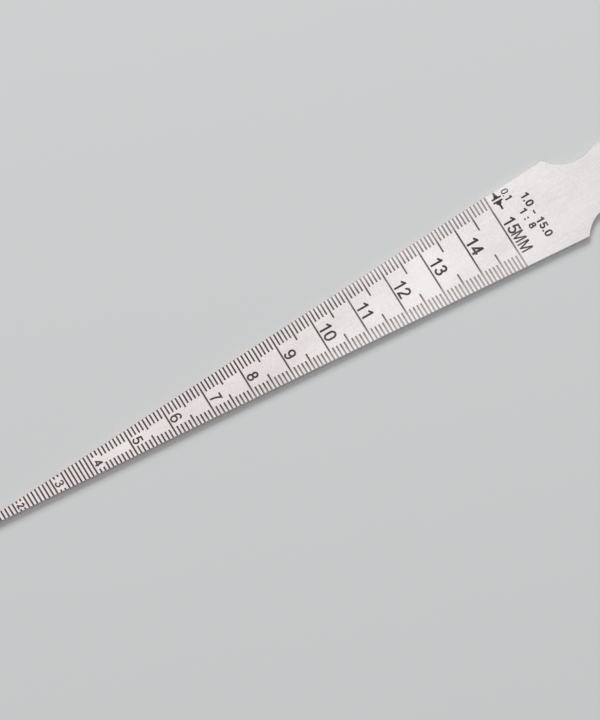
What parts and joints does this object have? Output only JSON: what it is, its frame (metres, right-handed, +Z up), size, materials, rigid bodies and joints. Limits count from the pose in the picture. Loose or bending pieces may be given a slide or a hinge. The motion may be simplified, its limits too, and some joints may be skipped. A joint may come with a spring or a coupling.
{
  "type": "taper gauge",
  "caption": "Flat wedge-shaped gauge blade with etched graduation lines across its width, a scalloped neck and a round head with a hanging hole.",
  "frame": {"origin": "middle of the blade's bounding box, on its lower face", "axes": "+X along the blade from the pointed tip to the round head, +Y across the blade, +Z up out of the etched face"},
  "size_m": [0.1436, 0.0166, 0.0012],
  "materials": {
    "stainless_sheet": "fine satin",
    "etch_filling": "matt dark filling in the etched marks"
  },
  "bodies": {
    "root": {"gauge_blade": "stainless_sheet"}
  },
  "joints": []
}
